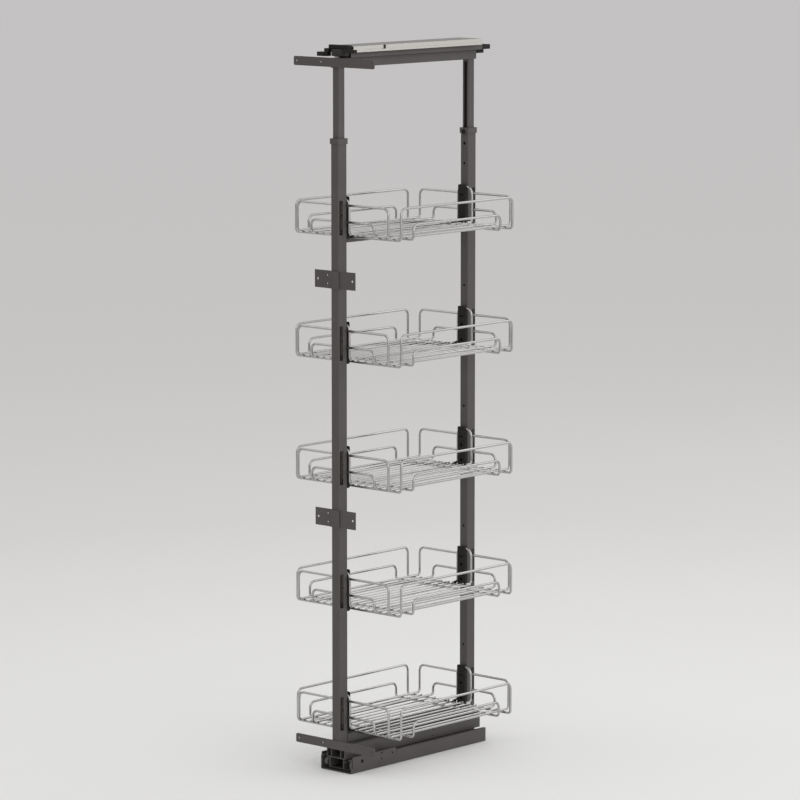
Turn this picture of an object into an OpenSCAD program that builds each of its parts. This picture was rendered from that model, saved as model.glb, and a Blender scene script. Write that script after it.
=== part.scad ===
// Pull-out larder unit: a wire-basket frame that runs out of a tall cabinet on a floor runner,
// with a telescopic top that is guided by an aluminium rail.
// Millimetres. +Z is up, the door side is -Y, and the unit is symmetric about X = 0.
// The origin is under the middle of the whole unit, on the cabinet floor.

/* [Frame] */
// Depth of the frame, over the outer faces of its two posts
frame_depth = 502; // [480:2:560]
// Width of the lower posts, from side to side
post_w = 25; // [24:0.5:27]
// Depth of the lower posts, from front to back
post_d = 30; // [29:0.5:31]
// Wall thickness of posts, tubes and beams
wall = 1.5; // [1.2:0.1:1.5]
// Height of the top end of the lower posts
post_top = 1538; // [1530:1:1560]
// Width of the upper tubes that slide in the posts
tube_w = 20; // [18:0.5:20]
// Depth of the upper tubes
tube_d = 22; // [20:0.5:24]
// Height of the upper tubes' top end, as stored
tube_top = 1721; // [1715:1:1730]
// Length of each upper tube
tube_len = 312; // [300:1:320]
// Height of the top beam
beam_h = 24; // [20:1:30]

/* [Door fixings] */
// Length of the top and bottom door bars
bar_len = 262; // [240:2:300]
// Height of the door bars
bar_h = 22; // [20:1:26]
// Thickness of the door bars
bar_t = 3; // [2:0.5:4]
// Height of the middle of the upper and lower door plates
plate_z = [1211, 628.5];
// Width, height and thickness of a door plate
plate_size = [132, 43, 2.5];

/* [Runner] */
// Length of the floor runner
runner_len = 500; // [490:1:520]
// Width of the runner's fixed channel
runner_w = 101; // [101:1:103]
// Height of the fixed channel
runner_h = 35; // [35:0.5:37]
// Sheet thickness of the runner
runner_t = 2; // [1.8:0.1:2]
// Width of the carriage that carries the frame
carriage_w = 60; // [58:1:62]
// Height of the carriage's top face
carriage_top = 68; // [68:1:72]

/* [Top guide] */
// Length that the guide profile stands out behind the frame
guide_tail = 37; // [30:1:45]
// Width of the aluminium rail
rail_w = 76; // [74:1:80]
// Height of the aluminium rail
rail_h = 15; // [15:1:18]
// Length of the aluminium rail
rail_len = 468; // [440:4:480]
// Radius of the guide roller
guide_roller_r = 23.5; // [20:0.5:23.5]

/* [Baskets] */
// Number of baskets
basket_count = 5; // [5:1:5]
// Height of the lowest basket's cross wires
basket_z = 97; // [97:1:99]
// Height from one basket to the next
basket_pitch = 304; // [300:1:304]
// Spacing of the floor wires
wire_pitch = 23; // [22:0.5:24]
// Diameter of the rail and cross wires
rail_wire = 6; // [5:0.5:6]
// Diameter of the thin floor wires
floor_wire = 4; // [3:0.5:4]
// Height of the tall and of the short guard rails above the cross wires
guard_h = [77, 36.5];
// Bend radius at the top of the guard rails
guard_bend = 16; // [12:1:18]
// Bend radius where the wires turn under the floor
foot_bend = 8; // [7:0.5:9]

/* [Hidden] */
$fn = 32;
eps = 0.01;

steel_grey = [0.33, 0.31, 0.30];
chrome = [0.82, 0.83, 0.85];
silver = [0.78, 0.79, 0.80];
black = [0.06, 0.06, 0.065];
white_plastic = [0.80, 0.80, 0.78];

// The frame's middle lies this far from the origin, so that the whole unit is centred on it
mid_y = (bar_t - guide_tail) / 2;
face_y = frame_depth / 2;            // outer face of a post, from the frame's middle
inner_y = face_y - post_d;           // inner face of a post
post_mid_y = face_y - post_d / 2;    // middle of a post and of its tube
tube_corner = 2.5;                   // outer corner radius of posts, tubes and beams

// Runner: the fixed channel's inside, and the middle member that runs in it
lip = 8;                                     // the channel's inward lips
channel_in = runner_w / 2 - runner_t;        // inner face of the channel's walls
middle_len = runner_len - 24;
middle_floor = 5;                            // underside of the middle member
flange_z = 29;                               // underside of the middle member's flanges
middle_out = 35;                             // outer face of the middle member's walls
middle_in = middle_out - runner_t;
skirt_out = 23;                              // outer face of the carriage's skirts
skirt_len = runner_len - 14;
skirt_bottom = 10;
skirt_flange_z = 26.3;
carriage_bottom = 34;
floor_window = [60, 125, 87.5];              // width, length and place of the floor's windows
side_hole = [-runner_len / 2 + 38, 28, 9];   // place, height and size of the large side hole
axle_d = 6;
running = 0.05;                              // radial clearance of a roller on its axle

// Rollers: radius, axle height, place along the runner, inner and outer side
FRONT_R = [10, 18.6, -runner_len / 2 + 18, 37.5, 46.5];
MID_REAR_R = [12.9, 15.3, middle_len / 2 - 16, 36.3, 45];
MID_FRONT_R = [9, 16.8, -middle_len / 2 + 16, 25.5, 32.2];
CARRIAGE_R = [9.2, 16.6, runner_len / 2 - 27, 24.2, 31.2];

// Top guide
beam_top = tube_top + beam_h;
profile_h = 12;                              // height of the guide profile's walls
profile_w = 55;                              // its width at the floor
profile_front = -face_y + 30;
plug_len = 31;                               // block at its back end
profile_back = face_y + guide_tail - plug_len;
rail_bottom = beam_top + profile_h + 0.5;
rail_top = rail_bottom + rail_h;
rail_front = -face_y + 27;
roller_bottom = beam_top + 3.6;
roller_top = roller_bottom + 16.2;
pin_top = rail_top - 2.5;
cap_bottom = roller_top + 0.7;               // underside of the block at the rail's front end
pin_d = 8;
guide_y = -face_y + 24;                      // the guide roller's axis

// Baskets
basket_half_x = 7.5 * wire_pitch;            // side rails
end_x = [6.5 * wire_pitch, 4.5 * wire_pitch];// uprights of the tall and short end rails
side_y = [203.5, 159];                       // uprights of the tall and short side rails
weld = 0.4;                                  // depth that a welded wire sinks into the other
long_z = rail_wire - weld;                   // thick floor wires, above the cross wires
thin_z = (rail_wire + floor_wire) / 2 - weld;// thin floor wires, above the cross wires
thin_reach = side_y[0] + 4;
hanger_mid = 6;                              // the hanging arch stands off the middle
hanger_legs = [hanger_mid - 22.5, hanger_mid + 22.5];
hanger_y = inner_y - rail_wire / 2 - 0.4;
end_y = hanger_y + rail_wire - weld;         // end rails, welded to the outside of the arch
hanger_top = 92;                             // top of the arch, above the cross wires
hanger_bend = 17;
hanger_z = rail_wire;                        // the arch's feet, above the cross wires

// Holders on the posts
holder_w = 25;
holder_z = [-4, 98];
saddle_top = hanger_top - rail_wire / 2 - 0.4;
holder_holes = [14, 52];                     // heights of the holder's screws
slot_z = [6, 89];                            // slots in the posts' sides
slot_y = [face_y - 15.5, face_y - 3.5];
spare_hole = 150;                            // spare holes above each basket
clamp_z = post_top + 4;                      // height of the collars' clamp screws
tube_slot = 9;                               // width of the slot in each upper tube

// ---------------------------------------------------------------- common shapes

// Puts the frame's own middle at its place in the unit
module in_place() translate([0, mid_y, 0]) children();

// Rectangle with rounded corners, about its middle
module rounded_rect(w, h, r) {
    square([w - 2 * r, h], center = true);
    square([w, h - 2 * r], center = true);
    for (sx = [-1, 1], sy = [-1, 1]) translate([sx * (w / 2 - r), sy * (h / 2 - r)]) circle(r = r);
}

// Section of a square tube
module tube_section(w, h) difference() {
    rounded_rect(w, h, tube_corner);
    rounded_rect(w - 2 * wall, h - 2 * wall, tube_corner - wall);
}

// Straight stretches of wire along each axis
module wire_x(x0, x1, y, z, d) translate([x0, y, z]) rotate([0, 90, 0]) cylinder(h = x1 - x0, d = d);
module wire_y(x, y0, y1, z, d) translate([x, y1, z]) rotate([90, 0, 0]) cylinder(h = y1 - y0, d = d);
module wire_z(x, y, z0, z1, d) translate([x, y, z0]) cylinder(h = z1 - z0, d = d);

// Quarter bends of wire about a centre: start is the angle where the bend begins
module quarter(r, d, start) {
    rotate([0, 0, start]) rotate_extrude(angle = 90) translate([r, 0]) circle(d = d);
}
module bend_xz(x, y, z, r, d, start) translate([x, y, z]) rotate([90, 0, 0]) quarter(r, d, start);
module bend_yz(x, y, z, r, d, start) translate([x, y, z]) rotate([90, 0, 90]) quarter(r, d, start);

// Outline of a sheet channel with rounded lower corners
module rounded_foot(w, h, r) {
    translate([-w / 2, r]) square([w, h - r]);
    translate([-w / 2 + r, 0]) square([w - 2 * r, r + eps]);
    for (s = [-1, 1]) translate([s * (w / 2 - r), r]) circle(r = r);
}

// A profile drawn in X and Z, extruded along Y from y0 to y1
module along_y(y0, y1) translate([0, y1, 0]) rotate([90, 0, 0]) linear_extrude(y1 - y0) children();

// Round hole or pin along Y
module along_y_round(x, y0, y1, z, d) wire_y(x, y0, y1, z, d);

// A pair of rollers, left and right, on one axle line
module roller_pair(spec) {
    for (s = [0, 1]) mirror([s, 0, 0]) difference() {
        wire_x(spec[3], spec[4], spec[2], spec[1], 2 * spec[0]);
        wire_x(spec[3] - 1, spec[4] + 1, spec[2], spec[1], axle_d + 2 * running);
    }
}

// A pair of axle pins: x0 is held in a wall, and a head closes the free end
module axle_pair(spec, x0, x1, head0) {
    for (s = [0, 1]) mirror([s, 0, 0]) {
        wire_x(x0, x1, spec[2], spec[1], axle_d);
        wire_x(head0, head0 + 1, spec[2], spec[1], axle_d + 3);
    }
}

// Holes for an axle pair in the walls from x0 to x1
module axle_holes(spec, x0, x1) {
    for (s = [0, 1]) mirror([s, 0, 0]) wire_x(x0, x1, spec[2], spec[1], axle_d + 0.1);
}

// ---------------------------------------------------------------- floor runner

module runner_channel() color(steel_grey) in_place() {
    difference() {
        along_y(-runner_len / 2, runner_len / 2) {
            difference() {
                rounded_foot(runner_w, runner_h, 4);
                translate([0, runner_t]) rounded_foot(2 * channel_in, runner_h, 4 - runner_t);
            }
            for (s = [-1, 1]) translate([s * (runner_w / 2 - lip / 2) - lip / 2, runner_h - runner_t])
                square([lip, runner_t]);
        }
        // floor screws, two pairs
        for (x = [-30, 30], y = [-190, 190]) translate([x, y, -1]) cylinder(h = runner_t + 2, d = 5.5);
        for (s = [-1, 1])
            translate([-floor_window[0] / 2, s * floor_window[2] - floor_window[1] / 2, -1])
                cube([floor_window[0], floor_window[1], runner_t + 2]);
        for (s = [0, 1]) mirror([s, 0, 0])
            wire_x(channel_in - 1, runner_w / 2 + 1, side_hole[0], side_hole[1], side_hole[2]);
        axle_holes(FRONT_R, channel_in - 1, runner_w / 2 + 1);
    }
}

module front_roller_axles() color(silver) in_place()
    axle_pair(FRONT_R, FRONT_R[3] - 0.3, runner_w / 2 - 0.1, FRONT_R[3] - 1.3);

module runner_rear_buffer() color(black) in_place()
    translate([-18, runner_len / 2 - 10, runner_t]) cube([36, 8, 20]);

// Plates on both sides of the channel, at its front end
module runner_side_plates() color(steel_grey) in_place() {
    plate_y = [-runner_len / 2 + 4, -88];
    plate_h = [14, 42];
    corner = 6;
    for (s = [0, 1]) mirror([s, 0, 0]) difference() {
        union() {
            translate([runner_w / 2, plate_y[0], plate_h[0]])
                cube([2, plate_y[1] - plate_y[0] - corner, plate_h[1] - plate_h[0]]);
            translate([runner_w / 2, plate_y[0], plate_h[0] + corner])
                cube([2, plate_y[1] - plate_y[0], plate_h[1] - plate_h[0] - 2 * corner]);
            for (z = [plate_h[0] + corner, plate_h[1] - corner])
                wire_x(runner_w / 2, runner_w / 2 + 2, plate_y[1] - corner, z, 2 * corner);
        }
        for (p = [[-142, 37, 5.5], [-142, 22, 5.5], [-103, 31, 5], side_hole])
            wire_x(runner_w / 2 - 1, runner_w / 2 + 3, p[0], p[1], p[2]);
        translate([runner_w / 2 - 1, plate_y[1] - 4, 27]) cube([4, 5, 9]);
    }
}

module front_rollers() color(white_plastic) in_place() roller_pair(FRONT_R);

module middle_member() color(steel_grey) in_place() difference() {
    along_y(-middle_len / 2, middle_len / 2) {
        for (s = [-1, 1]) translate([s * (middle_out - runner_t / 2) - runner_t / 2, middle_floor])
            square([runner_t, flange_z - middle_floor]);
        translate([-middle_out, middle_floor]) square([2 * middle_out, runner_t]);
        for (s = [-1, 1]) translate([s * 38 - 9.5, flange_z]) square([19, runner_t]);
    }
    axle_holes(MID_FRONT_R, middle_in - 1, middle_out + 1);
    axle_holes(MID_REAR_R, middle_in - 1, middle_out + 1);
}

module middle_axles() color(silver) in_place() {
    axle_pair(MID_FRONT_R, MID_FRONT_R[3] - 0.3, middle_out, MID_FRONT_R[3] - 1.3);
    axle_pair(MID_REAR_R, middle_in, MID_REAR_R[4] + 0.3, MID_REAR_R[4] + 0.3);
}

module middle_front_rollers() color(white_plastic) in_place() roller_pair(MID_FRONT_R);

module middle_rear_rollers() color(white_plastic) in_place() roller_pair(MID_REAR_R);

// ---------------------------------------------------------------- carriage

module carriage() color(steel_grey) in_place() difference() {
    box_h = carriage_top - carriage_bottom;
    union() {
        along_y(-runner_len / 2 - 1, runner_len / 2 + 1) {
            difference() {
                translate([-carriage_w / 2, carriage_bottom]) square([carriage_w, box_h]);
                translate([-carriage_w / 2 + runner_t, carriage_bottom + runner_t])
                    square([carriage_w - 2 * runner_t, box_h - 2 * runner_t]);
            }
            for (x = [-16.5, 14.5]) translate([x, carriage_bottom + 1]) square([2, box_h - 2]);
        }
        along_y(-runner_len / 2 + 2, -runner_len / 2 + 2 + skirt_len) for (s = [0, 1]) mirror([s, 0]) {
            translate([skirt_out - runner_t, skirt_bottom])
                square([runner_t, carriage_bottom - skirt_bottom + eps]);
            translate([skirt_out - eps, skirt_flange_z]) square([8.5, runner_t]);
        }
    }
    axle_holes(CARRIAGE_R, skirt_out - runner_t - 1, skirt_out + 1);
    // a pair of screw holes in each side
    for (z = [41, 56]) wire_x(-carriage_w, carriage_w, 74, z, 4);
}

module carriage_axles() color(silver) in_place()
    axle_pair(CARRIAGE_R, skirt_out - runner_t, CARRIAGE_R[4] + 0.3, CARRIAGE_R[4] + 0.3);

module carriage_end_plug() color(black) in_place() {
    for (x = [-carriage_w / 2 + 2.2, -14.3, 16.7])
        translate([x, runner_len / 2 - 9, carriage_bottom + 2.2])
            cube([x == -14.3 ? 28.6 : 11.1, 10, carriage_top - carriage_bottom - 4.4]);
    translate([-carriage_w / 2 + 2.2, runner_len / 2 + 1, carriage_bottom + 6])
        cube([carriage_w - 4.4, 1.5, 10]);
}

module carriage_rollers() color(white_plastic) in_place() roller_pair(CARRIAGE_R);

// ---------------------------------------------------------------- lower frame

module bottom_tube() color(steel_grey) in_place() along_y(-inner_y, inner_y)
    translate([0, carriage_top + post_w / 2]) tube_section(post_w, post_w);

// A lower post at the back; the front one is its mirror image
module post() {
    difference() {
        translate([0, post_mid_y, carriage_top]) linear_extrude(post_top - carriage_top)
            tube_section(post_w, post_d);
        for (k = [0 : basket_count - 1]) translate([0, 0, basket_z + k * basket_pitch]) {
            for (h = holder_holes) along_y_round(0, inner_y - 1, inner_y + wall + 1, h, 4.2);
            if (spare_hole + k * basket_pitch + basket_z < post_top)
                along_y_round(0, inner_y - 1, inner_y + wall + 1, spare_hole, 6);
            translate([-post_w, slot_y[0], slot_z[0]])
                cube([2 * post_w, slot_y[1] - slot_y[0], slot_z[1] - slot_z[0]]);
        }
        along_y_round(0, inner_y - 1, inner_y + wall + 1, post_top - 25, 8);
    }
}

module front_post() color(steel_grey) in_place() mirror([0, 1, 0]) post();

module back_post() color(steel_grey) in_place() post();

// Flat brace between the posts, under the top basket
module cross_brace() color(steel_grey) in_place()
    translate([-post_w / 2, -inner_y, basket_z + (basket_count - 1) * basket_pitch - 13])
        cube([post_w, 2 * inner_y, 8]);

// A flat door bar with rounded ends and four screw holes, standing on z = 0
module door_bar() {
    corner = 4;
    difference() {
        union() {
            translate([-bar_len / 2 + corner, -face_y - bar_t, 0]) cube([bar_len - 2 * corner, bar_t, bar_h]);
            translate([-bar_len / 2, -face_y - bar_t, corner]) cube([bar_len, bar_t, bar_h - 2 * corner]);
            for (s = [-1, 1], z = [corner, bar_h - corner])
                along_y_round(s * (bar_len / 2 - corner), -face_y - bar_t, -face_y, z, 2 * corner);
        }
        for (x = [-122, -42, 42, 122])
            along_y_round(x, -face_y - bar_t - 1, -face_y + 1, bar_h / 2, 5);
    }
}

module bottom_door_bar() color(steel_grey) in_place()
    translate([0, 0, carriage_top - 12]) door_bar();

// A door plate: two flat wings joined by a hat that passes in front of the post
module door_plate(z) {
    wing_in = post_w / 2;
    hat = post_w / 2 + plate_size[2];
    difference() {
        translate([0, 0, z - plate_size[1] / 2]) {
            translate([-hat, -face_y - plate_size[2], 0]) cube([2 * hat, plate_size[2], plate_size[1]]);
            for (s = [0, 1]) mirror([s, 0, 0]) translate([wing_in, -face_y - eps, 0])
                cube([plate_size[0] / 2 - wing_in, plate_size[2] + eps, plate_size[1]]);
        }
        for (s = [-1, 1]) {
            along_y_round(s * 56.5, -face_y - 1, -face_y + plate_size[2] + 1, z, 6);
            for (dz = [-10.5, 10.5])
                along_y_round(s * 25, -face_y - 1, -face_y + plate_size[2] + 1, z + dz, 4.5);
        }
    }
}

module upper_door_plate() color(steel_grey) in_place() door_plate(plate_z[0]);

module lower_door_plate() color(steel_grey) in_place() door_plate(plate_z[1]);

// The guide collar on top of the back post, with its sleeve inside the post
module collar() {
    rim = 5;
    sleeve = 2 * wall + 0.2;
    translate([0, post_mid_y, 0]) difference() {
        union() {
            translate([0, 0, post_top]) linear_extrude(13.5)
                rounded_rect(post_w + rim, post_d + rim, 3.5);
            translate([0, 0, post_top - 20]) linear_extrude(20 + eps)
                rounded_rect(post_w - sleeve, post_d - sleeve, tube_corner - wall - 0.1);
        }
        translate([0, 0, post_top - 21]) linear_extrude(36)
            rounded_rect(tube_w + 0.6, tube_d + 0.6, tube_corner);
        wire_y(0, -(post_d + rim) / 2 - 1, -tube_d / 2 + 1, clamp_z, 4.2);
    }
}

module front_collar() color(steel_grey) in_place() mirror([0, 1, 0]) collar();

module back_collar() color(steel_grey) in_place() collar();

// Screws that clamp the tubes through their slots
module collar_clamp_screws() color(black) in_place() for (s = [0, 1]) mirror([0, s, 0]) {
    head_y = post_mid_y - post_d / 2 - 2.5;
    along_y_round(0, head_y - 3, head_y, clamp_z, 12);
    along_y_round(0, head_y - eps, post_mid_y - tube_d / 2 + wall + 1, clamp_z, 4);
}

// Face of a holder's saddle: its shoulders follow the bends of the hanging arch
module saddle_face() intersection() {
    shoulder_z = hanger_top - hanger_bend;
    shoulder_x = [hanger_legs[0] + hanger_bend, hanger_legs[1] - hanger_bend];
    translate([-holder_w / 2, holder_z[0]]) square([holder_w, saddle_top - holder_z[0]]);
    union() {
        translate([-holder_w, holder_z[0]]) square([2 * holder_w, shoulder_z - holder_z[0]]);
        translate([shoulder_x[0], 0]) square([shoulder_x[1] - shoulder_x[0], saddle_top]);
        for (x = shoulder_x) translate([x, shoulder_z]) circle(r = saddle_top - shoulder_z);
    }
}

// Holder on the back post for one basket: a saddle under the arch, and a front plate with a slit
module holder() {
    front_t = 2.2;
    groove_y = hanger_y - rail_wire / 2 - 0.4;
    difference() {
        union() {
            along_y(groove_y, inner_y) saddle_face();
            along_y(groove_y - front_t, groove_y + eps)
                translate([0, (holder_z[0] + holder_z[1]) / 2])
                    rounded_rect(holder_w, holder_z[1] - holder_z[0], 4);
        }
        for (h = holder_holes) {
            along_y_round(0, groove_y - front_t - 1, inner_y + 1, h, 4.2);
            along_y_round(0, groove_y - front_t - 1, groove_y + 2.4, h, 8);
        }
        translate([-6, groove_y - front_t - 1, 71]) cube([12, front_t + 3, 3]);
    }
}

module holders() for (k = [0 : basket_count - 1]) translate([0, 0, basket_z + k * basket_pitch]) holder();

module front_holders() color(black) in_place() rotate([0, 0, 180]) holders();

module back_holders() color(black) in_place() holders();

module holder_screws() color(silver) in_place()
    for (s = [0, 1], k = [0 : basket_count - 1], h = holder_holes) mirror([0, s, 0]) {
        head_y = hanger_y - rail_wire / 2;
        z = basket_z + k * basket_pitch + h;
        along_y_round(0, head_y, head_y + 2, z, 7.5);
        along_y_round(0, head_y + 1, inner_y + wall + 3, z, 4);
    }

// ---------------------------------------------------------------- upper frame

// An upper tube at the back, slotted for the clamp screw; the front one is its mirror image
module tube() {
    translate([0, post_mid_y, tube_top - tube_len]) difference() {
        linear_extrude(tube_len) tube_section(tube_w, tube_d);
        translate([-tube_slot / 2, -tube_d / 2 - 1, -1]) cube([tube_slot, wall + 2, tube_len - 5]);
    }
}

module front_tube() color(steel_grey) in_place() mirror([0, 1, 0]) tube();

module back_tube() color(steel_grey) in_place() tube();

module top_beam() color(steel_grey) in_place() along_y(-face_y, face_y)
    translate([0, tube_top + beam_h / 2]) tube_section(post_w, beam_h);

// Open profile on the beam that the guide roller runs in; its sides lean in a little
module guide_profile() color(steel_grey) in_place() along_y(profile_front, profile_back)
    translate([0, beam_top]) polygon([
        [-profile_w / 2, 0], [profile_w / 2, 0], [profile_w / 2 - 1.2, profile_h],
        [profile_w / 2 - 2.7, profile_h], [profile_w / 2 - 1.7, 1.5],
        [-profile_w / 2 + 1.7, 1.5], [-profile_w / 2 + 2.7, profile_h], [-profile_w / 2 + 1.2, profile_h]]);

module top_door_bar() color(steel_grey) in_place() translate([0, 0, beam_top - bar_h]) door_bar();

// Block that closes the back end of the guide profile and stops the guide roller
module guide_tail_plug() color(black) in_place()
    translate([-profile_w / 2 + 1.5, profile_back, beam_top])
        cube([profile_w - 3, plug_len, profile_h - 0.5]);

module rear_buffer() color(black) in_place()
    translate([-post_w / 2, face_y, beam_top - 10]) cube([post_w, 28, 9]);

// ---------------------------------------------------------------- top rail

module top_rail() color(silver) in_place() difference() {
    along_y(rail_front, rail_front + rail_len) difference() {
        translate([-rail_w / 2, rail_bottom]) square([rail_w, rail_h]);
        translate([-rail_w / 2 + 2.5, rail_bottom - 1]) square([rail_w - 5, rail_h - 1]);
        for (s = [-1, 1]) translate([s * rail_w / 2, rail_bottom + 5.8]) square([2.6, 2.2], center = true);
    }
    for (y = [-160, 160]) translate([0, y, rail_top - 3]) cylinder(h = 4, d = 5);
}

// Block at the front end of the rail: a tongue inside the rail, a head that holds the pin, and
// an arm beside the guide roller on each side, the left one with a foot
module rail_front_cap() color(black) in_place() difference() {
    head = [65, 12, rail_top + 2.5 - cap_bottom];
    arm_in = profile_w / 2 + 1;                  // beside the guide profile
    arm_high_in = guide_roller_r + 1;            // above the guide profile
    arm_out = 38;
    foot_out = 60;
    arm_y = rail_front - 22;
    arm_bottom = beam_top + 2.5;
    high_z = beam_top + profile_h + 1;           // clear above the guide profile
    root_top = cap_bottom + 1;                   // the arms reach a little into the head
    union() {
        translate([-head[0] / 2, rail_front - head[1], cap_bottom]) cube(head);
        translate([-30, rail_front - eps, cap_bottom]) cube([60, 30, pin_top + 0.3 - cap_bottom]);
        translate([-arm_out, arm_y, arm_bottom]) cube([arm_out - arm_in, 14, root_top - arm_bottom]);
        translate([-arm_out, arm_y, high_z]) cube([arm_out - arm_high_in, 14, root_top - high_z]);
        translate([-foot_out, arm_y - 2, arm_bottom]) cube([foot_out - arm_out + eps, 16, 10]);
        translate([arm_high_in, arm_y, high_z]) cube([foot_out - arm_high_in, 10, cap_bottom - high_z]);
        translate([arm_high_in, arm_y + 5, high_z]) cube([8, 9, root_top - high_z]);
    }
    translate([0, guide_y, roller_top]) cylinder(h = pin_top + 0.1 - roller_top, d = pin_d + 0.1);
}

module rail_side_stop() color(black) in_place()
    translate([rail_w / 2, -116, rail_top - 9.5]) cube([2.5, 4, 9.5]);

// Pin of the guide roller, with a head in the roller's recess
module guide_roller_pin() color(silver) in_place() translate([0, guide_y, roller_bottom + 0.4]) {
    cylinder(h = 2, d = 12);
    cylinder(h = pin_top - roller_bottom - 0.4, d = pin_d);
}

// The guide roller on its vertical pin, with a recess for the pin's head
module guide_roller() color(steel_grey) in_place() translate([0, guide_y, roller_bottom]) difference() {
    cylinder(h = roller_top - roller_bottom, r = guide_roller_r, $fn = 64);
    translate([0, 0, -1]) cylinder(h = 30, d = pin_d + 2 * running);
    translate([0, 0, -1]) cylinder(h = 3.8, d = 14);
}

// ---------------------------------------------------------------- baskets

// Height of the cross wires of basket k, counted from 1 at the top
function basket_base(k) = basket_z + (basket_count - k) * basket_pitch;

module at_basket(k) in_place() translate([0, 0, basket_base(k)]) children();

// Floor: cross wires under thick and thin wires that run from front to back
module basket_floor(k) color(chrome) at_basket(k) {
    cross_x = basket_half_x - foot_bend;
    for (y = side_y, s = [-1, 1]) wire_x(-cross_x, cross_x, s * y, 0, rail_wire);
    long_y = end_y - foot_bend;
    for (x = end_x, s = [-1, 1]) wire_y(s * x, -long_y, long_y, long_z, rail_wire);
    for (n = [1, 3, 4, 5, 6, 7, 8, 9, 10, 12])
        wire_y((n - 6.5) * wire_pitch, -thin_reach, thin_reach, thin_z, floor_wire);
}

// Guard rails along both sides: an upturned U that turns in under the floor at its feet
module basket_side_rails(k) color(chrome) at_basket(k)
    for (s = [-1, 1], i = [0, 1]) {
        x = s * basket_half_x;
        y = side_y[i];
        z = guard_h[i];
        wire_y(x, -y + guard_bend, y - guard_bend, z, rail_wire);
        for (e = [-1, 1]) {
            bend_yz(x, e * (y - guard_bend), z - guard_bend, guard_bend, rail_wire, e > 0 ? 0 : 90);
            wire_z(x, e * y, foot_bend, z - guard_bend, rail_wire);
            bend_xz(x - s * foot_bend, e * y, foot_bend, foot_bend, rail_wire, s > 0 ? 270 : 180);
        }
    }

// Guard rails and the hanging arch at the back end; the front end is the same, turned half round
module basket_end() {
    for (s = [-1, 1]) {
        for (i = [0, 1]) {
            x = end_x[i];
            z = guard_h[i];
            wire_x(s > 0 ? hanger_legs[1] : -x + guard_bend, s > 0 ? x - guard_bend : hanger_legs[0],
                   end_y, z, rail_wire);
            bend_xz(s * (x - guard_bend), end_y, z - guard_bend, guard_bend, rail_wire, s > 0 ? 0 : 90);
            wire_z(s * x, end_y, foot_bend + long_z, z - guard_bend, rail_wire);
            bend_yz(s * x, end_y - foot_bend, foot_bend + long_z, foot_bend, rail_wire, 270);
        }
        leg_x = hanger_legs[s > 0 ? 1 : 0];
        bend_xz(leg_x - s * hanger_bend, hanger_y, hanger_top - hanger_bend, hanger_bend,
                rail_wire, s > 0 ? 0 : 90);
        wire_z(leg_x, hanger_y, foot_bend + hanger_z, hanger_top - hanger_bend, rail_wire);
        bend_yz(leg_x, hanger_y - foot_bend, foot_bend + hanger_z, foot_bend, rail_wire, 270);
        wire_y(leg_x, thin_reach - 8, hanger_y - foot_bend, hanger_z, rail_wire);
    }
    wire_x(hanger_legs[0] + hanger_bend, hanger_legs[1] - hanger_bend, hanger_y, hanger_top, rail_wire);
}

module basket_end_rails(k) color(chrome) at_basket(k) for (turn = [0, 180]) rotate([0, 0, turn]) basket_end();

// ---------------------------------------------------------------- what is drawn

runner_channel();
front_roller_axles();
runner_rear_buffer();
runner_side_plates();
front_rollers();
middle_member();
middle_axles();
middle_front_rollers();
middle_rear_rollers();
carriage();
carriage_axles();
carriage_end_plug();
carriage_rollers();
bottom_tube();
front_post();
back_post();
cross_brace();
bottom_door_bar();
upper_door_plate();
lower_door_plate();
front_collar();
back_collar();
collar_clamp_screws();
front_holders();
back_holders();
holder_screws();
front_tube();
back_tube();
top_beam();
guide_profile();
top_door_bar();
guide_tail_plug();
rear_buffer();
top_rail();
rail_front_cap();
rail_side_stop();
guide_roller_pin();
guide_roller();
basket_floor(1);  // basket_1_floor
basket_side_rails(1);  // basket_1_side_rails
basket_end_rails(1);  // basket_1_end_rails
basket_floor(2);  // basket_2_floor
basket_side_rails(2);  // basket_2_side_rails
basket_end_rails(2);  // basket_2_end_rails
basket_floor(3);  // basket_3_floor
basket_side_rails(3);  // basket_3_side_rails
basket_end_rails(3);  // basket_3_end_rails
basket_floor(4);  // basket_4_floor
basket_side_rails(4);  // basket_4_side_rails
basket_end_rails(4);  // basket_4_end_rails
basket_floor(5);  // basket_5_floor
basket_side_rails(5);  // basket_5_side_rails
basket_end_rails(5);  // basket_5_end_rails
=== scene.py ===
"""Dresses the pull-out larder unit: chromed wire, powder-coated steel, rail, rollers, light, camera."""

import logging
import math
from dataclasses import dataclass
from enum import Enum
from typing import Iterable, Sequence

import bmesh
import bpy
import numpy as np
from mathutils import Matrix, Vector


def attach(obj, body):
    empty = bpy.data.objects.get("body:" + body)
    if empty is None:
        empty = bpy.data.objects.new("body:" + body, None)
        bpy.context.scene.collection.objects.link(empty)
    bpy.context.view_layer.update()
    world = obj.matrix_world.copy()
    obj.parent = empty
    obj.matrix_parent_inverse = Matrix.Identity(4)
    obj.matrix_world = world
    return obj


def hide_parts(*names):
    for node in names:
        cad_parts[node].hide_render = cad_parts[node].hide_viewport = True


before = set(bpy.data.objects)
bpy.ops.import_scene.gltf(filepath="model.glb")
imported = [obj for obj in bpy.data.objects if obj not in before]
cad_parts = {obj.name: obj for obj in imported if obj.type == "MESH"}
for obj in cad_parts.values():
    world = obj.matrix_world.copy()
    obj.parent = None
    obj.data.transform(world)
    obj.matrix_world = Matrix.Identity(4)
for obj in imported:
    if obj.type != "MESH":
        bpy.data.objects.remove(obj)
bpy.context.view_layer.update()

MM = 0.001
MID_Y = -17.0  # the frame's middle, from the unit's origin, in mm
POST_Y = 236.0  # the posts' middles, to the front and the back of the frame's middle, in mm
POST_HOLLOW = (22.0, 27.0)  # width and depth inside a post, in mm
POST_MIDS = {"front_post": MID_Y - POST_Y, "back_post": MID_Y + POST_Y}
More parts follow.
